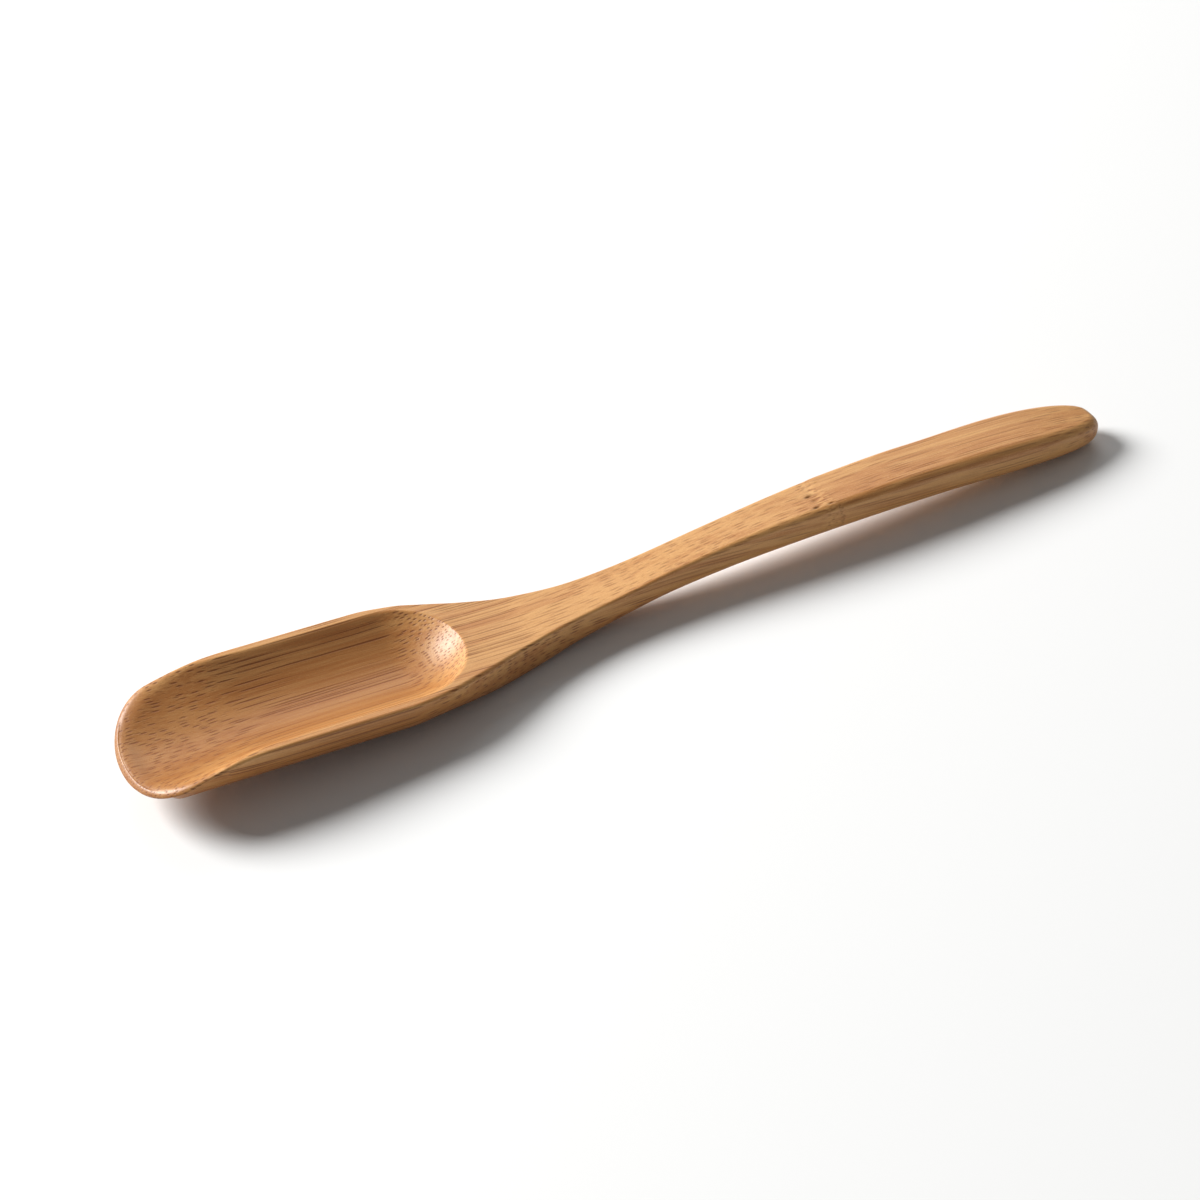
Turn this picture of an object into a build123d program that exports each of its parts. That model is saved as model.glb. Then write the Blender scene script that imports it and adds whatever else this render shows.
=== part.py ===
from build123d import *
import os
from math import atan2, cos, degrees, sin

# A tea scoop carved from one piece of bamboo. Lengths are in millimetres.
# It is shaped with X along the grain from the bowl's tip to the handle's end,
# Y across, Z up and zero at the level of the bowl's rim. Last of all it is laid
# down the way it rests on a table.

# Overall sizes
length = 178.6
bowl_width = 26.2
bowl_height = 7.5
neck_width = 7.4
handle_width = 10.6
handle_thickness = 6.4
handle_rise = 9.35

# The bowl's hollow: a round trough with a ball-shaped end that widens towards
# the mouth, where its floor also falls a little and a low wall closes it
hollow_width = 22.7
hollow_depth = 5.0
hollow_end = 57.5
mouth_width = 29.4
mouth_fall = 1.1
lip_wall = 0.9
rim_wall = 0.8
lip_slope = 0.8
lip_slope_reach = 1.6

# The rim's fall to the lip, seen from the side
lip_fall = 6.3
lip_reach = 21.5

# The rounded ends: the half ovals that they follow seen from above, the slope under
# the tip's edge, and the slopes above and under the handle's end
tip_round = 8.5
tip_width = 26.8
tip_slope_height = 2.7
tip_slope_front = 0.6
tip_slope_side = 4.6
end_round = 9.0
end_width = 11.6
end_slope_height = 2.2
end_slope_front = 1.9
end_slope_side = 0.9

# Rounding of the long edges: the bowl's lower edges, the lower edges of neck and
# handle, the neck's crisp upper edges and the handle's soft ones
base_round = 6.5
lower_round = 2.7
ridge_round = 0.45
crown_round = 1.7

# What is planed off under the bowl to leave its base flat
base_planed = 0.1

# How far a cutting shape runs past what it cuts
overrun = 4.0

# Cross-sections from the tip to the handle's end. Each row is: the place as a
# share of the length; the width, first as a share of the way from the neck's to
# the bowl's, then from the neck's to the handle's; the top as a share of the
# handle's rise; the underside as a share of the way up from the bowl's base to
# the handle's underside; and the rounding, below as a share of the way to the
# bowl's, above as a share of the way to the handle's. Between rows each value
# follows a smooth curve.
section_shares = (
    (-0.020, 1.000, 0.00, 0.000, 0.000, 1.00, 0.00),
    (0.242, 1.000, 0.00, 0.000, 0.000, 1.00, 0.00),
    (0.280, 0.915, 0.00, -0.005, 0.000, 1.04, 0.10),
    (0.308, 0.760, 0.00, -0.024, 0.000, 0.72, 0.20),
    (0.337, 0.560, 0.00, -0.039, 0.008, 0.26, 0.15),
    (0.365, 0.380, 0.00, -0.040, 0.038, 0.00, 0.05),
    (0.393, 0.240, 0.00, -0.010, 0.093, -0.10, 0.00),
    (0.433, 0.108, 0.00, 0.055, 0.202, -0.05, 0.00),
    (0.479, 0.040, 0.00, 0.175, 0.349, 0.00, 0.00),
    (0.529, 0.000, 0.02, 0.358, 0.500, 0.00, 0.05),
    (0.585, 0.000, 0.14, 0.548, 0.646, 0.00, 0.25),
    (0.645, 0.000, 0.45, 0.714, 0.774, 0.00, 0.55),
    (0.716, 0.000, 0.81, 0.858, 0.890, 0.00, 0.85),
    (0.796, 0.000, 0.98, 0.943, 0.962, 0.00, 1.00),
    (0.877, 0.000, 0.97, 0.966, 0.982, 0.00, 1.00),
    (0.947, 0.000, 0.90, 0.922, 0.968, 0.00, 1.00),
    (1.028, 0.000, 0.76, 0.830, 0.945, 0.00, 0.90),
)
section_count = 53

# The slope under the tip's edge, from the base up: its rise as a share of its
# height, then how far in it still is, as shares of its reach in front and beside.
tip_slope_shares = (
    (0.0, 1.0, 1.0),
    (0.3, 0.2, 0.5),
    (1.0, 0.0, 0.0),
)

# The hollow's cross-sections from the mouth back: the place as a share of the
# way to the centre of its round end, then how far it has widened and fallen.
hollow_shares = (
    (-0.080, 1.10, 1.05),
    (0.180, 0.90, 0.80),
    (0.440, 0.12, 0.30),
    (0.720, 0.00, 0.04),
    (1.000, 0.00, 0.00),
)

# The two lines on which the scoop rests: behind the flat of the bowl's base and
# under the handle's end, as places along the length and rises of the underside
heel_place_share, heel_rise_share = 0.36035, 0.03137
foot_place_share, foot_rise_share = 0.98857, 0.95372


def blend(low, high, share):
    """The value that lies the given share of the way from low to high."""
    return low + share * (high - low)


def underside(rise_share):
    """The level of the underside, before planing, for a share of its rise."""
    return blend(-bowl_height - base_planed, handle_rise - handle_thickness, rise_share)


def follow(rows, place):
    """The values at a place on smooth curves through the rows, with no overshoot."""
    k = next((i for i in range(len(rows) - 2) if place < rows[i + 1][0]), len(rows) - 2)
    reach = rows[k + 1][0] - rows[k][0]
    t = (place - rows[k][0]) / reach
    values = []
    for column in range(1, len(rows[0])):
        slopes = [slope(rows, i, column) * reach for i in (k, k + 1)]
        low, high = rows[k][column], rows[k + 1][column]
        values.append(blend(low, high, t * t * (3 - 2 * t)) + t * (1 - t) * ((1 - t) * slopes[0] - t * slopes[1]))
    return values


def slope(rows, i, column):
    """The slope at a row: level at a turn or an end, or between its two neighbours'."""
    if i in (0, len(rows) - 1):
        return 0
    before, after = [
        (rows[j + 1][column] - rows[j][column]) / (rows[j + 1][0] - rows[j][0]) for j in (i - 1, i)
    ]
    return 0 if before * after <= 0 else 2 * before * after / (before + after)


def body_section(place):
    """One cross-section of the body: flat sides joined by four round corners."""
    flare, swell, rise, keel, base, crown = follow(section_shares, place)
    width = neck_width + flare * (bowl_width - neck_width) + swell * (handle_width - neck_width)
    top, bottom = rise * handle_rise, underside(keel)
    room = min(width, top - bottom) / 2
    low_round = min(blend(lower_round, base_round, base), room * 1.75)
    high_round = min(blend(ridge_round, crown_round, crown), room * 0.9)
    half = width / 2
    corners = [(-half, bottom), (half, bottom), (half, top), (-half, top)]
    outline = FilletPolyline(corners, radius=[low_round, low_round, high_round, high_round], close=True)
    plane = Plane(origin=(place * length, 0, 0), x_dir=(0, 1, 0), z_dir=(1, 0, 0))
    return plane * make_face(outline)


def make_body():
    """The solid body before its ends are rounded and its bowl is hollowed."""
    first, last = section_shares[0][0], section_shares[-1][0]
    places = [blend(first, last, i / (section_count - 1)) for i in range(section_count)]
    return loft([body_section(place) for place in places])


def oval_stack(centre, ovals):
    """A block of ovals about a centre, given by level, half length and half width."""
    outlines = [Pos(centre, 0, level) * Ellipse(half_length, half_width) for level, half_length, half_width in ovals]
    return loft(outlines, ruled=True)


def middle_block(start, end):
    """A block wider and higher than the scoop, from one place to another."""
    height = bowl_height + handle_rise + overrun
    return Pos((start + end) / 2, 0) * Box(end - start, bowl_width + overrun, 2 * height)


def make_ends():
    """What the planed body is kept within: a block with rounded, sloped ends."""
    above = handle_rise + overrun
    ovals = [
        (rise * tip_slope_height - bowl_height, tip_round - front * tip_slope_front, tip_width / 2 - side * tip_slope_side)
        for rise, front, side in tip_slope_shares
    ]
    tip = oval_stack(tip_round, ovals + [(above, tip_round, tip_width / 2)])
    low, high = handle_rise - handle_thickness, handle_rise
    small_length, small_width = end_round - 1.2 * end_slope_front, end_width / 2 - 1.2 * end_slope_side
    end = oval_stack(length - end_round, [
        (low - 0.4 * end_slope_height, small_length, small_width),
        (low + 1.3 * end_slope_height, end_round, end_width / 2),
        (high - 1.2 * end_slope_height, end_round, end_width / 2),
        (high, small_length, small_width),
    ])
    return tip + middle_block(tip_round, length - end_round) + end


def make_plane_cut():
    """What the plane takes off under the bowl."""
    cut_height = base_planed + overrun
    return Pos(length / 2, 0, -bowl_height - cut_height / 2) * Box(length + overrun, bowl_width + overrun, cut_height)


def make_lip_cut():
    """What is taken off above the rim where it curves down to the lip."""
    fall = Bezier((0, -lip_fall), (lip_reach / 2, 0), (lip_reach, 0))
    edges = Polyline((lip_reach, 0), (lip_reach, overrun), (-overrun, overrun), (-overrun, -lip_fall), (0, -lip_fall))
    return extrude(Plane.XZ * make_face(fall + edges), bowl_width, both=True)


def hollow_section(place, width, depth):
    """One cross-section of the hollow: an arc closed by a line above the rim."""
    radius = (width ** 2 / 4 + depth ** 2) / (2 * depth)
    sag = depth + overrun
    half = (sag * (2 * radius - sag)) ** 0.5
    arc = ThreePointArc((-half, overrun), (0, -depth), (half, overrun))
    plane = Plane(origin=(place, 0, 0), x_dir=(0, 1, 0), z_dir=(1, 0, 0))
    return plane * make_face(arc + Line((half, overrun), (-half, overrun)))


def make_hollow():
    """The hollow of the bowl, trough and round end."""
    centre = hollow_end - hollow_width / 2
    sections = [
        hollow_section(place * centre, blend(hollow_width, mouth_width, wide), hollow_depth + fall * mouth_fall)
        for place, wide, fall in hollow_shares
    ]
    floor = -hollow_depth - mouth_fall
    half_length, half_width = tip_round - lip_wall, tip_width / 2 - rim_wall
    front = oval_stack(tip_round, [
        (floor - lip_slope, half_length - 2 * lip_slope_reach, half_width - 2 * lip_slope_reach),
        (floor + lip_slope, half_length, half_width),
        (handle_rise, half_length, half_width),
    ]) + middle_block(tip_round, hollow_end)
    trough = loft(sections) & front
    radius = (hollow_width ** 2 / 4 + hollow_depth ** 2) / (2 * hollow_depth)
    ball = Pos(centre, 0, radius - hollow_depth) * Sphere(radius)
    bowl_end = ball & Pos(centre + radius, 0, 0) * Box(2 * radius, 2 * radius, 2 * (hollow_depth + overrun))
    return trough + bowl_end


def lay_down(scoop):
    """Tilt the scoop onto its two resting lines and centre it above the origin."""
    heel_x, heel_z = heel_place_share * length, underside(heel_rise_share)
    foot_x, foot_z = foot_place_share * length, underside(foot_rise_share)
    tilt = atan2(foot_z - heel_z, foot_x - heel_x)
    table_z = heel_z * cos(tilt) - heel_x * sin(tilt)
    tilted = Rot(0, degrees(tilt), 0) * scoop
    box = tilted.bounding_box()
    return Pos(-box.center().X, -box.center().Y, -table_z) * tilted


def make_scoop():
    """The whole scoop, one solid, before it is laid down."""
    planed = make_body() - make_plane_cut()
    return (planed & make_ends()) - make_lip_cut() - make_hollow()


os.makedirs("parts", exist_ok=True)
scoop = lay_down(make_scoop())
export_step(scoop, "parts/scoop.step")
box = scoop.bounding_box()
print("solids", len(scoop.solids()), "volume", round(scoop.volume, 1), "size", box.size)
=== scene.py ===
from math import atan2, cos, radians, sin
from types import SimpleNamespace

import bpy
import numpy as np
from bpy.props import FloatProperty, FloatVectorProperty, PointerProperty
from mathutils import Matrix, Vector


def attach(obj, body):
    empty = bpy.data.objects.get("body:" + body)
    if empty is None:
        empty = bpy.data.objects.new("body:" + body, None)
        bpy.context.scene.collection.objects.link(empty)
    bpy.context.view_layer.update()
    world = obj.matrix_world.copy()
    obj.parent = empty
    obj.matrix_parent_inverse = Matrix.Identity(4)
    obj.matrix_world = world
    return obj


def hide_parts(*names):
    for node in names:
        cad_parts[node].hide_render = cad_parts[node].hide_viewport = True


bl_info = {
    "name": "Tea scoop",
    "version": (1, 0, 0),
    "blender": (4, 5, 0),
    "location": "3D View > Sidebar > Tea scoop",
    "description": "Carves a bamboo tea scoop and sets it on a pale table",
    "category": "Add Mesh",
}

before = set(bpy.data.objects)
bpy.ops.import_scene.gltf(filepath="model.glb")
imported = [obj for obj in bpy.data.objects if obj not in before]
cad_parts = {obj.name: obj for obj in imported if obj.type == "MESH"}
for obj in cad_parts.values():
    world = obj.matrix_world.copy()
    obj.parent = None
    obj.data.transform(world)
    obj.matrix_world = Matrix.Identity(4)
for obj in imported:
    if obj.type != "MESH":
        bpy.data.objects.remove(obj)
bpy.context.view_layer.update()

# The scoop is carved in its own upright frame: X along the grain from the bowl's
# tip, Y across, Z up and zero at the bowl's rim, all in millimetres. Then it is
# laid down on its heel and the handle's end. These are places in the carving frame.
HEEL = (64.359, -7.2690)
FOOT = (176.559, 2.4618)
RESTING_MIDDLE = 89.027
MILLIMETRE = 0.001

# Cross-sections from the tip to the handle's end. Each row is: the place as a share
# of the length; the width, first as a share of the way from the neck's to the
# bowl's, then from the neck's to the handle's; the top as a share of the handle's
# rise; the underside as a share of the way up from the base to the handle's
# underside; and the rounding, below as a share of the way to the bowl's, above as a
# share of the way to the handle's.
SECTIONS = (
    (-0.020, 1.000, 0.00, 0.000, 0.000, 1.00, 0.00),
    (0.242, 1.000, 0.00, 0.000, 0.000, 1.00, 0.00),
    (0.280, 0.915, 0.00, -0.005, 0.000, 1.04, 0.10),
    (0.308, 0.760, 0.00, -0.024, 0.000, 0.72, 0.20),
    (0.337, 0.560, 0.00, -0.039, 0.008, 0.26, 0.15),
    (0.365, 0.380, 0.00, -0.040, 0.038, 0.00, 0.05),
    (0.393, 0.240, 0.00, -0.010, 0.093, -0.10, 0.00),
    (0.433, 0.108, 0.00, 0.055, 0.202, -0.05, 0.00),
    (0.479, 0.040, 0.00, 0.175, 0.349, 0.00, 0.00),
    (0.529, 0.000, 0.02, 0.358, 0.500, 0.00, 0.05),
    (0.585, 0.000, 0.14, 0.548, 0.646, 0.00, 0.25),
    (0.645, 0.000, 0.45, 0.714, 0.774, 0.00, 0.55),
    (0.716, 0.000, 0.81, 0.858, 0.890, 0.00, 0.85),
    (0.796, 0.000, 0.98, 0.943, 0.962, 0.00, 1.00),
    (0.877, 0.000, 0.97, 0.966, 0.982, 0.00, 1.00),
    (0.947, 0.000, 0.90, 0.922, 0.968, 0.00, 1.00),
    (1.028, 0.000, 0.76, 0.830, 0.945, 0.00, 0.90),
)

# The largest radii of the lower and upper edges, as shares of half the body's width
# or thickness, whichever is less
LOW_ROUND_LIMIT, HIGH_ROUND_LIMIT = 1.75, 0.9

# The hollow's cross-sections from the mouth back: the place as a share of the way to
# the centre of its round end, then how far it has widened and fallen.
HOLLOW_SECTIONS = (
    (-0.080, 1.10, 1.05),
    (0.180, 0.90, 0.80),
    (0.440, 0.12, 0.30),
    (0.720, 0.00, 0.04),
    (1.000, 0.00, 0.00),
)

# How the ends are rounded: the half ovals' powers, where 2 is a true ellipse and more
# is fuller, and how far the nose and the handle's end stay inside the length
TIP_POWER, END_POWER = 2.07, 3.15
NOSE_INSET, END_INSET = 0.17, 0.08

# The handle's end: between which places before it the body takes on the end's own
# values, then for its top and its underside the level, the place before the end where
# it starts to bend down, and the fall per square millimetre from there
END_BLEND = (36.0, 20.0)
END_TOP = (9.20, 20.6, 0.0033)
END_UNDER = (2.736, 18.6, 0.0008)

# The lip: the power of the rim's fall to it, the height of its rounded edge as a share
# of the edge's width, and up to where its rounding reaches, in lengths of the half oval
LIP_POWER = 2.45
LIP_SQUASH = 0.46
LIP_ROUND_END = 2.2

# The low wall inside the lip: its slope beyond the hollow's own half oval, how far it
# drops away behind the tip and from where to where past the half oval, and how softly
# it meets the floor
WALL_SLOPE = 3
WALL_DROP, WALL_DROP_PLACES = 12, (-1, 9)
WALL_MEETING = 1.0

# How softly the hollow meets the rim at its sides, at its round end and at the lip,
# between which places before the hollow's end the second takes over, and how far past
# that end the hollow is still looked for
SIDE_MEETING, ROUND_END_MEETING, LIP_MEETING = 0.42, 0.16, 1.2
ROUND_END_PLACES = (12, 4)
HOLLOW_MARGIN = 12

# The lip's underside: how far in its edge goes round and how far down that brings it,
# in radii; the slopes from there at the nose and beside it, with the places and the
# power of the change from one to the other; where it ends; and how softly it meets the
# body's underside. The places are in lengths of the half oval.
LIP_TURN, LIP_TURN_DROP = 0.41, 0.81
NOSE_SLOPE, SIDE_SLOPE = 0.72, 8.0
SLOPE_PLACES, SLOPE_POWER = (0.3, 1.5), 1.6
UNDER_LIP_END = 1.6
UNDER_LIP_MEETING = 1.5

# The node's raised band and the groove before it: place along, width and height. Both
# lean along by this much for each millimetre across.
NODE_BANDS = ((123.6, 1.5, 0.05), (121.6, 0.8, -0.05))
NODE_LEAN = 0.12

# Pits where leaf traces left the bamboo's node: place along, place across, length,
# width and depth, in millimetres
NODE_PITS = (
    (120.8, -0.1, 0.80, 0.28, 0.21),
    (121.2, -1.5, 0.60, 0.22, 0.12),
    (120.6, -3.3, 0.75, 0.30, 0.21),
    (123.2, -3.6, 0.85, 0.24, 0.13),
    (123.6, 2.5, 0.45, 0.20, 0.08),
)

# The knife's slow waves: length of a radian along, radians across and start
WANDER_WAVES = ((6.1, 0.4, 0.0), (9.7, -0.3, 1.9), (3.9, 0.7, 4.2))
WANDER_DEPTH = 0.012

# The mesh: points across the upper face, across the underside and down each wall
# between them, and the least height of that wall
TOP_POINTS, UNDER_POINTS, WALL_POINTS = 121, 61, 6
LEAST_WALL = 0.01

# Its cross-sections: how many stand along each rounded end, and how they crowd at the
# handle's; and between the ends, up to which place they stand how far apart
END_STATIONS, END_CROWDING = 64, 1.4
STATION_STEPS = ((44.5, 0.42), (60.5, 0.24), (118.0, 0.55), (127.0, 0.16))
LAST_STEP = 0.55

# The outline as a line of points, for distances to it: how many along each rounded end
# and between them, and in how many portions the distances are worked out
OUTLINE_END_POINTS, OUTLINE_MIDDLE_POINTS = 200, 240
PORTIONS = 80
TINY = 1e-9

# The picture places lie on a square sheet, in millimetres: its size, where along the
# scoop the bowl's strips end and the handle's begin, the margin before each strip, and
# the middles of the strips, for the handle and then the bowl, underside and then top
SHEET, STRIP_SPLIT, STRIP_MARGIN = 106.0, 78.0, 1.5
STRIP_MIDDLES = np.array(((96.0, 78.0), (51.0, 17.0)))

# The bamboo's pattern, in the carving frame: where the node is, how it slants and how
# wide it is; how far the grain wanders, and how much more at the node; from where it
# bends down into the lip, and by how much per square millimetre; between which places
# the bowl passes into the neck's top, and between which heights it is deep in the
# bowl; and the base of the soft humps
NODE_MIDDLE, NODE_SLANT, NODE_WIDTH = 122.3, 0.14, 1.5
GRAIN_WANDER, NODE_WANDER = 0.42, 1.5
BEND_START, BEND_FALL = 26.0, 0.0045
NECK_START, NECK_TOP = 56.0, 60.0
# Below these heights the bowl is painted darker: partly the inner wood's own tone, partly painted
# shade in the hollow
DEEP, SHALLOW = -5.6, -0.6
HUMP_BASE = 2.718

# The dark seam at the node: place along, its lean with the height, how ragged it is,
# how wide, and between which places across it ends on the near side. And how dark a
# pit is for each millimetre of its depth.
SEAM_PLACE, SEAM_LEAN, SEAM_RAGGED, SEAM_WIDTH = 125.4, 0.12, 2.4, 0.20
SEAM_SIDE = (-4.6, -3.6)
PIT_DARKNESS = 3.4

# The lamps: name, direction, width and height in metres, and the setting that holds
# the strength. They hang this far from the scoop, over a table that reaches this far.
LAMPS = (
    ("soft_lamp", (-0.58, 0.58, 0.57), (0.9, 0.9), "key_strength"),
    ("back_panel", (0.345, 0.708, 0.616), (1.5, 0.9), "back_strength"),
)
LAMP_DISTANCE = 1.7
TABLE_REACH = 3

# The camera: where it looks, in the carving frame, its sensor's width in millimetres
# and the nearest that it sees, in metres
CAMERA_TARGET = (82.06, 0, -1.41)
SENSOR_WIDTH, NEAR_CLIP = 36.0, 0.01


def length_of(name, about, millimetres):
    """A length that a user may change, shown in the scene's unit."""
    return FloatProperty(
        name=name, description=about, default=millimetres * MILLIMETRE, min=0.0,
        unit="LENGTH", subtype="DISTANCE", precision=4,
    )


def strength_of(name, about, strength):
    """The strength of a light, which a user may change."""
    return FloatProperty(name=name, description=about, default=strength, min=0.0)


def angle_of(name, about, degrees):
    """An angle that a user may change."""
    return FloatProperty(name=name, description=about, default=radians(degrees), subtype="ANGLE")


def tint(name, about, colour):
    """A colour that a user may change, given as it looks on a screen from 0 to 255."""
    return FloatVectorProperty(
        name=name, description=about, default=linear(colour), min=0.0, max=1.0,
        size=3, subtype="COLOR",
    )


def linear(colour):
    """A screen colour from 0 to 255 as the amounts of light that a renderer adds up."""
    return tuple(
        c / 255 / 12.92 if c <= 10 else ((c / 255 + 0.055) / 1.055) ** 2.4 for c in colour
    )


class ScoopSizes(bpy.types.PropertyGroup):
    """The sizes of the carved scoop."""
    length: length_of("Length", "From the bowl's tip to the handle's end", 178.6)
    bowl_width: length_of("Bowl width", "Across the bowl's parallel sides", 26.2)
    bowl_height: length_of("Bowl height", "From the base to the rim", 7.5)
    base_planed: length_of("Planed off", "What the plane took off under the bowl", 0.1)
    neck_width: length_of("Neck width", "Across the narrowest place", 7.4)
    handle_width: length_of("Handle width", "Across the widest place of the handle", 10.6)
    handle_thickness: length_of("Handle thickness", "From the handle's underside to its top", 6.4)
    handle_rise: length_of("Handle rise", "How far the handle's top stands above the rim", 9.35)
    hollow_width: length_of("Hollow width", "Across the hollow at the rim", 22.7)
    hollow_depth: length_of("Hollow depth", "From the rim to the hollow's floor", 5.0)
    hollow_end: length_of("Hollow end", "Where the hollow's round end reaches the rim", 57.5)
    mouth_width: length_of("Mouth width", "Across the hollow at the mouth", 29.4)
    mouth_fall: length_of("Mouth fall", "How far the floor falls towards the mouth", 1.1)
    lip_wall: length_of("Lip wall", "Thickness of the low wall at the tip", 0.9)
    rim_wall: length_of("Rim wall", "Thickness of the wall beside the tip", 0.8)
    lip_slope: length_of("Lip slope", "Height of the slope inside the lip", 0.8)
    lip_slope_reach: length_of("Lip slope reach", "Length of the slope inside the lip", 2.1)
    lip_fall: length_of("Lip fall", "How far the rim comes down to the lip", 6.28)
    lip_reach: length_of("Lip reach", "Over what length the rim comes down", 23.5)
    lip_round: length_of("Lip rounding", "Width of the lip's rounded edge", 1.35)
    tip_round: length_of("Tip round", "Length of the tip's half oval", 8.45)
    tip_width: length_of("Tip width", "Width of the tip's half oval", 26.2)
    end_round: length_of("End round", "Length of the half oval at the handle's end", 22.0)
    end_width: length_of("End width", "Width of the half oval at the handle's end", 11.2)
    end_top_round: length_of("End top rounding", "Radius of the handle end's upper edge", 1.9)
    end_low_round: length_of("End lower rounding", "Radius of the handle end's lower edge", 3.0)
    base_round: length_of("Base rounding", "Radius of the bowl's lower edges", 6.5)
    lower_round: length_of("Lower rounding", "Radius of the lower edges of neck and handle", 2.7)
    ridge_round: length_of("Ridge rounding", "Radius of the neck's crisp upper edges", 0.55)
    crown_round: length_of("Crown rounding", "Radius of the handle's soft upper edges", 1.7)
    bundle_spacing: length_of("Bundle spacing", "From one fibre bundle to the next", 0.57)


class ScoopColours(bpy.types.PropertyGroup):
    """The colours and gloss of the oiled bamboo."""
    flesh: tint("Flesh", "The pale wood between the fibre bundles", (208, 153, 91))
    honey: tint("Honey", "The darker streaks in the wood", (186, 124, 65))
    straw: tint("Straw", "The palest streaks in the wood", (226, 176, 111))
    # Darker deep in the bowl: partly the inner wood's own tone, partly painted shade in the hollow
    core: tint("Core", "The darker wood deep in the bowl", (134, 76, 16))
    bundle: tint("Bundle", "The dark cut fibre bundles", (120, 62, 14))
    pit: tint("Pit", "The dark pits at the node", (84, 44, 18))
    seam: tint("Seam", "The long thin dark fibres", (126, 74, 34))
    gloss: FloatProperty(
        name="Roughness", description="How much the oil finish scatters light", default=0.44,
        min=0.05, max=1.0,
    )


class StudioSettings(bpy.types.PropertyGroup):
    """The table, the light and the camera."""
    table: tint("Table", "The plain pale table", (236, 236, 235))
    key_strength: strength_of("Key light", "Strength of the soft lamp", 51.0)
    back_strength: strength_of("Back light", "Strength of the wide panel behind", 6.0)
    sky_strength: strength_of("Room light", "Strength of the light from all round", 0.17)
    lens: FloatProperty(
        name="Lens", description="Focal length", default=72.0, min=20.0, unit="CAMERA",
    )
    azimuth: angle_of("Azimuth", "How far the camera stands round the scoop", -26.0)
    elevation: angle_of("Elevation", "How far the camera looks down", 38.0)
    distance: length_of("Distance", "From the camera to what it looks at", 393.8)


def rest_tilt():
    """The angle by which the carved scoop tips to stand on heel and foot."""
    return atan2(FOOT[1] - HEEL[1], FOOT[0] - HEEL[0])


def rest_matrix():
    """From the carving frame, in millimetres, to the frame's, in metres."""
    tilt = rest_tilt()
    table = HEEL[1] * cos(tilt) - HEEL[0] * sin(tilt)
    drop = Matrix.Translation(Vector((-RESTING_MIDDLE, 0, -table)))
    return Matrix.Scale(MILLIMETRE, 4) @ drop @ Matrix.Rotation(tilt, 4, "Y")


def blend(low, high, share):
    """The value that lies the given share of the way from low to high."""
    return low + share * (high - low)


def ease(low, high, value):
    """A soft step from 0 to 1 as the value goes from low to high."""
    t = np.clip((value - low) / (high - low), 0, 1)
    return t * t * (3 - 2 * t)


def lesser(a, b, soft):
    """The lesser of two values, with their meeting rounded over the soft width."""
    near = np.maximum(soft - np.abs(a - b), 0) / soft
    return np.minimum(a, b) - near * near * soft / 4


def greater(a, b, soft):
    """The greater of two values, with their meeting rounded over the soft width."""
    return -lesser(-a, -b, soft)


def follow(rows, places):
    """The columns at each place, on smooth curves through the rows with no overshoot."""
    table = np.array(rows)
    at, columns = table[:, 0], table[:, 1:]
    reach = np.diff(at)[:, None]
    rate = np.diff(columns, axis=0) / reach
    before, after = rate[:-1], rate[1:]
    both = before * after
    slopes = np.zeros_like(columns)
    slopes[1:-1] = np.where(both > 0, 2 * both / np.where(both > 0, before + after, 1), 0)
    k = np.clip(np.searchsorted(at, places, side="right") - 1, 0, len(at) - 2)
    t = ((places - at[k]) / reach[k, 0])[:, None]
    low, high = columns[k], columns[k + 1]
    bend = (1 - t) * slopes[k] * reach[k] - t * slopes[k + 1] * reach[k]
    return (blend(low, high, t * t * (3 - 2 * t)) + t * (1 - t) * bend).T


def round_off(inside, radius):
    """How far a quarter-round edge has fallen at a distance inside the edge."""
    left = np.clip(radius - inside, 0, radius)
    return radius - np.sqrt(np.maximum(radius * radius - left * left, 0))


def bent_down(x, s, level, start, fall):
    """A level that bends down from a start before the handle's end."""
    return level - fall * np.maximum(x - s.length + start, 0) ** 2


def body_values(x, s):
    """The body along the scoop: half width, top, underside and the two edge radii."""
    flare, swell, rise, keel, base, crown = follow(SECTIONS, x / s.length)
    bowl_more, handle_more = s.bowl_width - s.neck_width, s.handle_width - s.neck_width
    width = s.neck_width + flare * bowl_more + swell * handle_more
    top = rise * s.handle_rise
    bottom = blend(-s.bowl_height - s.base_planed, s.handle_rise - s.handle_thickness, keel)
    room = np.minimum(width, top - bottom) / 2
    low_round = np.minimum(blend(s.lower_round, s.base_round, base), room * LOW_ROUND_LIMIT)
    high_round = np.minimum(blend(s.ridge_round, s.crown_round, crown), room * HIGH_ROUND_LIMIT)
    near_end = ease(s.length - END_BLEND[0], s.length - END_BLEND[1], x)
    return SimpleNamespace(
        half=blend(width / 2, s.end_width / 2, near_end),
        top=blend(top, bent_down(x, s, *END_TOP), near_end),
        bottom=blend(bottom, bent_down(x, s, *END_UNDER), near_end),
        low_round=blend(low_round, s.end_low_round, near_end),
        high_round=blend(high_round, s.end_top_round, near_end),
    )


def oval_half(x, half_length, half_width, power):
    """Half width of a half oval that is full after half_length."""
    share = np.clip(1 - x / half_length, 0, 1)
    return half_width * np.clip(1 - share ** power, 0, 1) ** (1 / power)


def outline_half(x, s):
    """Half width of the whole outline, seen from above."""
    body = body_values(x, s).half
    tip = oval_half(x - NOSE_INSET, s.tip_round - NOSE_INSET, s.tip_width / 2, TIP_POWER)
    end = oval_half(s.length - END_INSET - x, s.end_round, s.end_width / 2, END_POWER)
    end = end + np.maximum(s.length - s.end_round - x, 0)
    return np.minimum(np.minimum(body, tip), np.where(x > s.length / 2, end, body))


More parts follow.
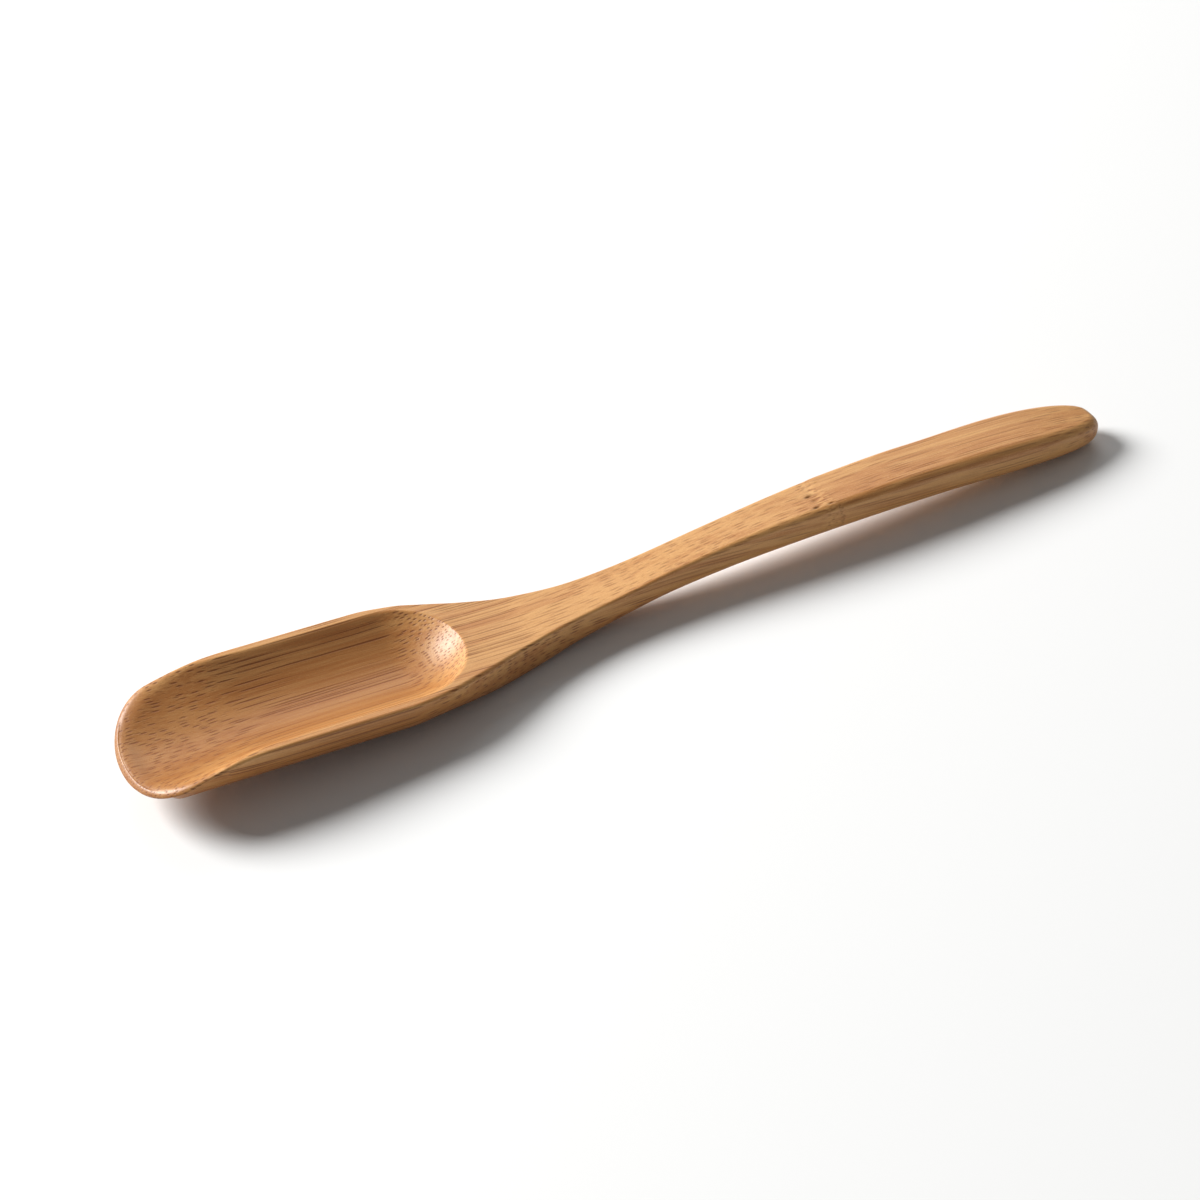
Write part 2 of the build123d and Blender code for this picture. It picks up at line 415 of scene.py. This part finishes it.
def end_places(s, count):
    """Places along the tip and along the handle's end, closer where the outline turns."""
    turn = 1 - np.cos(np.linspace(0, np.pi / 2, count))
    tip = NOSE_INSET + (s.tip_round - NOSE_INSET) * turn
    end = s.length - END_INSET - (s.end_round - END_INSET) * turn[::-1] ** END_CROWDING
    return tip, end


def edge_distance(x, y, s):
    """How far each point lies inside the outline, measured flat."""
    tip, end = end_places(s, OUTLINE_END_POINTS)
    middle = np.linspace(s.tip_round, s.length - s.end_round, OUTLINE_MIDDLE_POINTS)[1:-1]
    along = np.concatenate([tip, middle, end])
    line = np.stack([along, outline_half(along, s)], axis=1)
    points = np.stack([x, np.abs(y)], axis=-1).reshape(-1, 1, 2)
    start, step = line[:-1], np.diff(line, axis=0)
    least = []
    for portion in np.array_split(points, PORTIONS):
        t = np.clip(((portion - start) * step).sum(-1) / (step * step).sum(-1), 0, 1)
        off = portion - start - t[..., None] * step
        least.append(np.linalg.norm(off, axis=-1).min(axis=1))
    return np.concatenate(least).reshape(x.shape)


def hollow_floor(x, y, s):
    """The height of the hollow's surface: trough, round end and the slope inside the lip."""
    centre = s.hollow_end - s.hollow_width / 2
    first, last = HOLLOW_SECTIONS[0][0], HOLLOW_SECTIONS[-1][0]
    wide, fall = follow(HOLLOW_SECTIONS, np.clip(x[:, 0] / centre, first, last))
    width = blend(s.hollow_width, s.mouth_width, wide)[:, None]
    depth = (s.hollow_depth + fall * s.mouth_fall)[:, None]
    radius = (width ** 2 / 4 + depth ** 2) / (2 * depth)
    past = np.maximum(x - centre, 0)
    floor = radius - depth - np.sqrt(np.maximum(radius ** 2 - y ** 2 - past ** 2, 0))
    half_length, half_width = s.tip_round - s.lip_wall, s.tip_width / 2 - s.rim_wall
    ahead = np.maximum(s.tip_round - x, 0) / half_length
    share = np.sqrt(ahead ** 2 + (y / half_width) ** 2) + TINY
    pull = np.sqrt((ahead / half_length) ** 2 + (y / half_width ** 2) ** 2) / share + TINY
    reach = (1 - share) / pull
    level = -s.hollow_depth - s.mouth_fall + s.lip_slope
    inner = reach * s.lip_slope / s.lip_slope_reach
    wall = level - np.where(reach > 0, inner, WALL_SLOPE * reach)
    drop_start, drop_end = [s.tip_round + place for place in WALL_DROP_PLACES]
    return greater(floor, wall - WALL_DROP * ease(drop_start, drop_end, x), WALL_MEETING)


def node_marks(x, y):
    """Small pits and a faint raised band where the bamboo's node crosses the handle."""
    marks = 0
    for along, wide, high in NODE_BANDS:
        marks = marks + high * np.exp(-((x - along - NODE_LEAN * y) / wide) ** 2)
    for along, across, long, wide, deep in NODE_PITS:
        hump = np.exp(-((x - along) / long) ** 2 * 2 - ((y - across) / wide) ** 2 * 2)
        marks = marks - deep * hump
    return marks


def hand_wander(x, y):
    """The slight unevenness that a knife and a scraper leave, never above the surface."""
    slow = sum(np.sin(x / wave + lean * y + start) for wave, lean, start in WANDER_WAVES)
    return -WANDER_DEPTH * (len(WANDER_WAVES) + slow)


def lip_line(x, s):
    """The height of the rim where it curves down to the lip."""
    return -s.lip_fall * np.clip(1 - x / s.lip_reach, 0, 1) ** LIP_POWER


def top_height(x, y, s):
    """The height of the upper surface."""
    body = body_values(x[:, 0], s)
    rim, high_round = body.top[:, None], body.high_round[:, None]
    near_tip = 1 - ease(s.tip_round, LIP_ROUND_END * s.tip_round, x)
    high = np.where(x < s.lip_reach, np.minimum(rim, lip_line(x, s)), rim)
    radius = blend(high_round, s.lip_round, near_tip)
    fallen = round_off(edge_distance(x, y, s), radius) * blend(1, LIP_SQUASH, near_tip)
    crown = high - fallen
    hollow = hollow_floor(x, y, s)
    start, end = [s.hollow_end - place for place in ROUND_END_PLACES]
    soft = blend(SIDE_MEETING, ROUND_END_MEETING, ease(start, end, x))
    soft = blend(soft, LIP_MEETING, near_tip)
    carved = np.where(x < s.hollow_end + HOLLOW_MARGIN, lesser(crown, hollow, soft), crown)
    return carved + hand_wander(x, y) + node_marks(x, y)


def bottom_height(x, y, s):
    """The height of the underside."""
    body = body_values(x[:, 0], s)
    half, bottom, low_round = body.half[:, None], body.bottom[:, None], body.low_round[:, None]
    flat_inside = edge_distance(x, y, s)
    inside = np.where(x > s.length / 2, flat_inside, np.maximum(half - np.abs(y), 0))
    keel = np.maximum(bottom + round_off(inside, low_round), -s.bowl_height)
    radius = s.lip_round * LIP_SQUASH
    ball = -np.sqrt(radius * radius - np.clip(radius - flat_inside, 0, radius) ** 2)
    turned = LIP_TURN * radius
    start, end = [share * s.tip_round for share in SLOPE_PLACES]
    slope = blend(NOSE_SLOPE, SIDE_SLOPE, ease(start, end, x) ** SLOPE_POWER)
    straight = -LIP_TURN_DROP * radius - slope * (flat_inside - turned)
    under_lip = lip_line(x, s) - radius + np.where(flat_inside < turned, ball, straight)
    under_lip = np.where(x < UNDER_LIP_END * s.tip_round, under_lip, -2 * s.bowl_height)
    joined = greater(keel, under_lip, UNDER_LIP_MEETING)
    return np.maximum(joined, -s.bowl_height) - hand_wander(x, y)


def stations(s):
    """Where the cross-sections stand, closer together where the form turns quickly."""
    tip, end = end_places(s, END_STATIONS)
    places, start = [tip[1:]], tip[-1]
    for stop, step in (*STATION_STEPS, (end[0], LAST_STEP)):
        places.append(np.linspace(start, stop, round((stop - start) / step) + 1)[1:])
        start = stop
    return np.concatenate([*places, end[1:-1]])


def carve(s):
    """The rings of points from the tip to the handle's end."""
    x = stations(s)[:, None]
    half = outline_half(x[:, 0], s)[:, None]
    top_x, top_y = spread(x, half, -1, TOP_POINTS)
    low_x, low_y = spread(x, half, 1, UNDER_POINTS)
    top = top_height(top_x, top_y, s)
    low = bottom_height(low_x, low_y, s)
    shelf = np.minimum(top[:, :1], top[:, -1:]) - LEAST_WALL
    low = np.minimum(low, np.maximum(shelf, -s.bowl_height))
    return np.concatenate([
        np.stack([top_x, top_y, top], axis=-1),
        wall(top[:, -1:], low[:, :1], half, x),
        np.stack([low_x, low_y, low], axis=-1),
        wall(low[:, -1:], top[:, :1], -half, x),
    ], axis=1)


def spread(x, half, first, count):
    """Points across from the first side to the other, closer together at the edges."""
    shares = np.sin(np.linspace(first, -first, count) * np.pi / 2)
    return x + 0 * shares, half * shares


def wall(start, end, half, x):
    """The points between the edge of one face and the edge of the other."""
    shares = np.linspace(0, 1, WALL_POINTS + 2)[1:-1]
    height = start + (end - start) * shares
    return np.stack([x + 0 * shares, half + 0 * shares, height], axis=-1)


def build_scoop(s):
    """The scoop's mesh, laid down on the table, with its picture places."""
    rings = carve(s)
    count, around = rings.shape[:2]
    nose, tail = [rings[ring].mean(axis=0) * (1, 0, 1) for ring in (0, -1)]
    nose[0], tail[0] = NOSE_INSET, s.length - END_INSET
    points = np.concatenate([rings.reshape(-1, 3), [nose, tail]])
    index = np.arange(count * around).reshape(count, around)
    turned = np.roll(index, -1, axis=1)
    quads = np.stack([index[:-1], index[1:], turned[1:], turned[:-1]], axis=-1).reshape(-1, 4)
    faces = quads.tolist()
    faces += [(count * around, int(a), int(b)) for a, b in zip(index[0], turned[0])]
    faces += [(count * around + 1, int(b), int(a)) for a, b in zip(index[-1], turned[-1])]
    mesh = bpy.data.meshes.new("bamboo_scoop")
    mesh.from_pydata(points.tolist(), [], faces)
    lay_out(mesh, rings, points)
    mesh.transform(rest_matrix())
    mesh.shade_smooth()
    mesh.validate()
    return mesh


def run_round(rings):
    """How far round each point lies from the middle of the top and of the underside."""
    step = np.linalg.norm(np.diff(rings, axis=1, append=rings[:, :1]), axis=2)
    run = np.cumsum(step, axis=1) - step
    from_top = run - run[:, TOP_POINTS // 2, None]
    from_top[:, -WALL_POINTS:] -= step.sum(axis=1, keepdims=True)
    from_under = run - run[:, TOP_POINTS + WALL_POINTS + UNDER_POINTS // 2, None]
    return from_top, from_under


def lay_out(mesh, rings, points):
    """Writes the picture places: bowl and handle, top and underside, as four strips."""
    count, around = rings.shape[:2]
    corners = np.empty(len(mesh.loops), dtype=np.int32)
    mesh.loops.foreach_get("vertex_index", corners)
    sizes = np.empty(len(mesh.polygons), dtype=np.int32)
    mesh.polygons.foreach_get("loop_total", sizes)
    face_of = np.repeat(np.arange(len(sizes)), sizes)
    along = points[corners, 0]
    on_bowl = (np.bincount(face_of, along) / sizes < STRIP_SPLIT)[face_of]

    # The faces follow one another round each ring, and then round both ends. The top's
    # strip takes the upper half of each wall too.
    slots = np.tile(np.arange(around), count + 1)
    half_wall = WALL_POINTS // 2
    on_top = (slots < TOP_POINTS + half_wall - 1) | (slots >= around - half_wall - 1)
    on_top = on_top[face_of]
    ring, place = np.divmod(np.minimum(corners, count * around - 1), around)
    from_top, from_under = run_round(rings)
    across = np.where(on_top, from_top[ring, place], from_under[ring, place])
    across = np.where(corners < count * around, across, 0)
    u = along - np.where(on_bowl, 0, STRIP_SPLIT) + STRIP_MARGIN
    v = STRIP_MIDDLES[on_bowl.astype(int), on_top.astype(int)] + across
    layer = mesh.uv_layers.new(name="OFBake")
    layer.data.foreach_set("uv", (np.stack([u, v], axis=-1) / SHEET).ravel().astype(np.float32))


class Wire:
    """A node's output, so that shader maths reads as plain sums."""

    def __init__(self, finish, socket):
        self.finish, self.socket = finish, socket

    def beside(self, name):
        """Another output of the same node."""
        return Wire(self.finish, self.socket.node.outputs[name])

    def maths(self, operation, *values):
        """A maths node on the values, wires or plain numbers."""
        sockets = dict(enumerate(values))
        return self.finish.node("ShaderNodeMath", {"operation": operation}, sockets)

    def __add__(self, other):
        return self.maths("ADD", self, other)

    def __sub__(self, other):
        return self.maths("SUBTRACT", self, other)

    def __rsub__(self, other):
        return self.maths("SUBTRACT", other, self)

    def __mul__(self, other):
        return self.maths("MULTIPLY", self, other)

    def __truediv__(self, other):
        return self.maths("DIVIDE", self, other)

    def __rpow__(self, other):
        return self.maths("POWER", other, self)

    def __neg__(self):
        return self.maths("MULTIPLY", self, -1.0)

    def most(self, other):
        """The greater of the two values."""
        return self.maths("MAXIMUM", self, other)

    __radd__ = __add__
    __rmul__ = __mul__


class Finish:
    """A material whose nodes are added one by one."""

    def __init__(self, name):
        self.material = bpy.data.materials.new(name)
        self.material.use_nodes = True
        self.tree = self.material.node_tree
        self.tree.nodes.clear()

    def node(self, kind, settings, sockets, output=0):
        """Adds a node, first its settings, then its sockets, and gives one of its outputs."""
        node = self.tree.nodes.new(kind)
        for name, value in settings.items():
            setattr(node, name, value)
        for name, value in sockets.items():
            if isinstance(value, Wire):
                self.tree.links.new(value.socket, node.inputs[name])
            else:
                node.inputs[name].default_value = value
        return Wire(self, node.outputs[output]) if len(node.outputs) else None

    def split(self, vector):
        """The three parts of a vector."""
        first = self.node("ShaderNodeSeparateXYZ", {}, {"Vector": vector})
        return [first.beside(name) for name in "XYZ"]

    def mix(self, share, low, high):
        """A colour the given share of the way from low to high."""
        sockets = {0: share, 6: colour_value(low), 7: colour_value(high)}
        return self.node("ShaderNodeMix", {"data_type": "RGBA"}, sockets, output=2)

    def step(self, value, low, high):
        """A soft step from 0 to 1 as the value goes from low to high."""
        sockets = {"Value": value, "From Min": low, "From Max": high}
        return self.node("ShaderNodeMapRange", {"interpolation_type": "SMOOTHSTEP"}, sockets)

    def grain_noise(self, place, scale, detail=2.0, roughness=0.5, colour=False):
        """Noise stretched along the grain: scale gives its waves per millimetre on each axis."""
        stretch = {"operation": "MULTIPLY"}
        stretched = self.node("ShaderNodeVectorMath", stretch, {0: place, 1: scale})
        sockets = {"Vector": stretched, "Scale": 1.0, "Detail": detail, "Roughness": roughness}
        settings = {"noise_dimensions": "3D"}
        return self.node("ShaderNodeTexNoise", settings, sockets, output=1 if colour else 0)

    def bundles(self, sections, spacing, offset, randomness):
        """The distance to the nearest fibre bundle, in spacings, and that bundle's chance."""
        moved = self.node("ShaderNodeVectorMath", {"operation": "MULTIPLY_ADD"}, {
            0: sections, 1: (1 / spacing, 1 / spacing, 0.0), 2: offset,
        })
        settings = {"voronoi_dimensions": "2D", "feature": "F1"}
        sockets = {"Vector": moved, "Scale": 1.0, "Randomness": randomness}
        distance = self.node("ShaderNodeTexVoronoi", settings, sockets)
        colour = distance.beside("Color")
        chance = self.node("ShaderNodeSeparateColor", {}, {"Color": colour})
        return distance, chance


def colour_value(colour):
    """A colour with its alpha, or a wire as it is."""
    return colour if isinstance(colour, Wire) else (*colour, 1.0)


def grain_space(finish):
    """Where a point lies in the strip of bamboo, and where across its wandering grain."""
    where = finish.node("ShaderNodeTexCoord", {}, {}, output=3)
    move, turn, size = rest_matrix().decompose()
    place = finish.node("ShaderNodeMapping", {"vector_type": "TEXTURE"}, {
        "Vector": where, "Location": move, "Rotation": turn.to_euler(), "Scale": size,
    })
    along, across, height = finish.split(place)

    # The bundles run along the scoop and wander a little on their way. They bend down
    # into the lip, and the node disturbs them.
    off_node = (along - NODE_MIDDLE + across * NODE_SLANT) / NODE_WIDTH
    at_node = HUMP_BASE ** -(off_node * off_node)
    amount = at_node * NODE_WANDER + GRAIN_WANDER
    wander = finish.grain_noise(place, (0.05, 0.16, 0.16), 1.5, colour=True)
    centre = {0: wander, 1: (0.5, 0.5, 0.5)}
    wander = finish.node("ShaderNodeVectorMath", {"operation": "SUBTRACT"}, centre)
    sideways, upwards, _ = finish.split(wander)
    before_bend = (BEND_START - along).most(0.0)
    grain_across = across + sideways * amount
    grain_height = height + upwards * amount - before_bend * before_bend * BEND_FALL
    flat = {"X": grain_across, "Y": grain_height}
    sections = finish.node("ShaderNodeCombineXYZ", {}, flat)
    solid = {"X": along, "Y": grain_across, "Z": grain_height}
    grain = finish.node("ShaderNodeCombineXYZ", {}, solid)
    return SimpleNamespace(
        place=place, along=along, across=across, height=height, at_node=at_node,
        sections=sections, grain=grain,
    )


def bundle_marks(finish, space, spacing):
    """Cut bundles, as dots where the cut is steep and as lines where it follows them."""
    distance, chance = finish.bundles(space.sections, spacing, (0.3, 0.1, 0.0), 0.7)
    patch = finish.grain_noise(space.place, (0.06, 0.12, 0.12), 1.0)
    strength = finish.step(chance + (patch - 0.5) * 1.1, -0.08, 0.55)

    # They are fainter on the top of the neck.
    past_bowl = finish.step(space.along, NECK_START, NECK_TOP)
    level = space.height + (NECK_TOP - space.along).most(0.0)
    uppermost = finish.step(level, -0.75, -0.15)
    strength = strength * (1 - past_bowl * uppermost * 0.45)
    dash = (1 - finish.step(distance, 0.12, 0.30)) * strength
    halo = (1 - finish.step(distance, 0.20, 0.50)) * strength
    distance, chance = finish.bundles(space.sections, spacing * 0.55, (5.2, 3.1, 0.0), 1.0)
    thread = (1 - finish.step(distance, 0.08, 0.28)) * finish.step(chance, 0.40, 0.8)
    return dash, halo, thread


def mark_node(finish, space, colours, tone):
    """The node: pale and dark flecks on the crown, and a short seam down the near side."""
    fleck = finish.grain_noise(space.place, (0.9, 1.9, 1.9), 1.0)
    pale = space.at_node * finish.step(fleck, 0.50, 0.62) * 0.45
    tone = finish.mix(pale, tone, colours.straw)
    dark = space.at_node * (1 - finish.step(fleck, 0.34, 0.45)) * 0.42
    tone = finish.mix(dark, tone, colours.bundle)
    for pit_along, pit_across, long, wide, deep in NODE_PITS:
        off_along, off_across = (space.along - pit_along) / long, (space.across - pit_across) / wide
        pit = HUMP_BASE ** -(off_along * off_along + off_across * off_across)
        tone = finish.mix(pit * (PIT_DARKNESS * deep), tone, colours.pit)
    leaning = space.along - SEAM_PLACE + space.height * SEAM_LEAN
    off_seam = (leaning + (fleck - 0.5) * SEAM_RAGGED) / SEAM_WIDTH
    seam = HUMP_BASE ** -(off_seam * off_seam)
    near_side = 1 - finish.step(space.across, *SEAM_SIDE)
    return finish.mix(seam * near_side * 0.42, tone, colours.bundle)


def oiled_bamboo(colours, spacing):
    """Bamboo as a solid: fibre bundles run through it, so each cut shows them as it would."""
    finish = Finish("oiled_bamboo")
    space = grain_space(finish)
    dash, halo, thread = bundle_marks(finish, space, spacing)

    # The wood between the bundles, in streaks, fibres and specks, darker deep in the bowl: partly
    # the inner wood's own deeper tone, partly painted shade in the hollow
    streak = finish.grain_noise(space.grain, (0.02, 0.7, 0.7), 3.0, 0.6)
    broad = finish.grain_noise(space.place, (0.02, 0.09, 0.12), 2.0)
    fibre = finish.grain_noise(space.grain, (0.12, 4.2, 4.2), 2.0, 0.6)
    speck = finish.grain_noise(space.place, (3.2, 5.0, 5.0), 2.0, 0.65)
    streaks = finish.step(streak + (broad - 0.5) * 0.6, 0.36, 0.64)
    tone = finish.mix(streaks, colours.honey, colours.flesh)
    tone = finish.mix(finish.step(fibre, 0.50, 0.75) * 0.38, tone, colours.straw)
    tone = finish.mix(finish.step(1 - fibre, 0.50, 0.78) * 0.32, tone, colours.honey)
    tone = finish.mix(finish.step(speck, 0.50, 0.72) * 0.30, tone, colours.honey)
    tone = finish.mix((1 - finish.step(speck, 0.30, 0.48)) * 0.25, tone, colours.straw)
    # Painted shade in the hollow, together with the inner wood's own darker tone: the colour
    # darkens below the rim towards the bowl's floor
    deep = 1 - finish.step(space.height, DEEP, SHALLOW)
    tone = finish.mix(deep * 0.60, tone, colours.core)
    tone = finish.mix(halo * 0.22 + thread * 0.30, tone, colours.seam)
    tone = finish.mix(dash * 0.66, tone, colours.bundle)
    tone = mark_node(finish, space, colours, tone)

    relief = fibre * 0.5 + speck * 0.35 - dash * 0.9 - thread * 0.4
    sockets = {"Strength": 0.4, "Distance": 0.0001, "Height": relief}
    bump = finish.node("ShaderNodeBump", {}, sockets)
    rough = dash * 0.14 + fibre * 0.16 + (colours.gloss - 0.08)
    skin = finish.node("ShaderNodeBsdfPrincipled", {}, {
        "Base Color": tone, "Roughness": rough, "IOR": 1.47, "Normal": bump,
        "Coat Weight": 0.18, "Coat Roughness": 0.30,
    })
    finish.node("ShaderNodeOutputMaterial", {}, {"Surface": skin})
    return finish.material


def plain_table(colours):
    """The table's plain matt white."""
    finish = Finish("plain_table")
    sockets = {"Base Color": colour_value(colours.table), "Roughness": 0.9}
    skin = finish.node("ShaderNodeBsdfPrincipled", {}, sockets)
    finish.node("ShaderNodeOutputMaterial", {}, {"Surface": skin})
    return finish.material


def in_millimetres(group):
    """A property group's lengths, as plain numbers in millimetres."""
    names = group.__annotations__
    return SimpleNamespace(**{name: getattr(group, name) / MILLIMETRE for name in names})


class TEA_SCOOP_OT_carve(bpy.types.Operator):
    """Carve the scoop, bowl, neck and handle from one piece of bamboo"""
    bl_idname = "tea_scoop.carve"
    bl_label = "Carve the scoop"
    bl_options = {"REGISTER", "UNDO"}

    def execute(self, context):
        scene = context.scene
        sizes = in_millimetres(scene.scoop_sizes)
        scoop = bpy.data.objects.new("bamboo_scoop", build_scoop(sizes))
        scene.collection.objects.link(scoop)
        scoop.data.materials.append(oiled_bamboo(scene.scoop_colours, sizes.bundle_spacing))
        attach(scoop, "root")
        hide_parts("scoop")
        return {"FINISHED"}


class TEA_SCOOP_OT_studio(bpy.types.Operator):
    """Set up the pale table, the soft light and the camera"""
    bl_idname = "tea_scoop.studio"
    bl_label = "Set up the studio"
    bl_options = {"REGISTER", "UNDO"}

    def execute(self, context):
        scene, studio = context.scene, context.scene.studio_settings
        mesh = bpy.data.meshes.new("table_top")
        r = TABLE_REACH
        mesh.from_pydata([(-r, -r, 0), (r, -r, 0), (r, r, 0), (-r, r, 0)], [], [(0, 1, 2, 3)])
        table = bpy.data.objects.new("table_top", mesh)
        table.data.materials.append(plain_table(studio))
        scene.collection.objects.link(table)
        light_up(scene, studio)
        aim_camera(scene, studio)
        scene.view_settings.view_transform = "Standard"
        return {"FINISHED"}


def light_up(scene, studio):
    """A soft lamp low behind and to the left, a wide panel behind, and a white room."""
    for name, towards, size, strength in LAMPS:
        hang_lamp(scene, name, towards, size, getattr(studio, strength))
    world = bpy.data.worlds.new("white_room")
    world.use_nodes = True
    background = world.node_tree.nodes["Background"]
    background.inputs["Color"].default_value = (1.0, 1.0, 1.0, 1.0)
    background.inputs["Strength"].default_value = studio.sky_strength
    scene.world = world


def hang_lamp(scene, name, towards, size, energy):
    """A soft lamp of the given width and height, in metres, that faces the scoop."""
    lamp = bpy.data.lights.new(name, "AREA")
    lamp.shape, lamp.size, lamp.size_y, lamp.energy = "ELLIPSE", *size, energy
    holder = bpy.data.objects.new(name, lamp)
    towards = Vector(towards).normalized()
    holder.location = towards * LAMP_DISTANCE
    holder.rotation_euler = towards.to_track_quat("Z", "Y").to_euler()
    scene.collection.objects.link(holder)


def aim_camera(scene, studio):
    """The camera, placed in the carving frame and laid down with the scoop."""
    a, e = studio.azimuth, studio.elevation
    back = Vector((sin(a) * cos(e), -cos(a) * cos(e), sin(e)))
    right = Vector((cos(a), sin(a), 0))
    up = back.cross(right)
    turn = Matrix.Rotation(rest_tilt(), 3, "Y") @ Matrix((right, up, back)).transposed()
    camera = bpy.data.cameras.new("camera")
    camera.lens, camera.sensor_width, camera.clip_start = studio.lens, SENSOR_WIDTH, NEAR_CLIP
    holder = bpy.data.objects.new("camera", camera)
    place = rest_matrix() @ (Vector(CAMERA_TARGET) + back * studio.distance / MILLIMETRE)
    holder.matrix_world = Matrix.Translation(place) @ turn.to_4x4()
    scene.collection.objects.link(holder)
    scene.camera = holder


class TEA_SCOOP_PT_panel(bpy.types.Panel):
    """The scoop's steps, sizes and colours"""
    bl_idname = "TEA_SCOOP_PT_panel"
    bl_label = "Tea scoop"
    bl_space_type = "VIEW_3D"
    bl_region_type = "UI"
    bl_category = "Tea scoop"

    def draw(self, context):
        for step in STEPS:
            self.layout.operator(step.bl_idname)
        for name in GROUPS:
            group = getattr(context.scene, name)
            for key in group.__annotations__:
                self.layout.prop(group, key)


STEPS = (TEA_SCOOP_OT_carve, TEA_SCOOP_OT_studio)
GROUPS = {
    "scoop_sizes": ScoopSizes,
    "scoop_colours": ScoopColours,
    "studio_settings": StudioSettings,
}
CLASSES = (*GROUPS.values(), *STEPS, TEA_SCOOP_PT_panel)


def register():
    for part in CLASSES:
        bpy.utils.register_class(part)
    for name, group in GROUPS.items():
        setattr(bpy.types.Scene, name, PointerProperty(type=group))


def unregister():
    for name in GROUPS:
        delattr(bpy.types.Scene, name)
    for part in reversed(CLASSES):
        bpy.utils.unregister_class(part)


def main():
    register()
    bpy.ops.tea_scoop.carve()
    bpy.ops.tea_scoop.studio()
    bpy.context.view_layer.update()


if __name__ == "__main__":
    main()
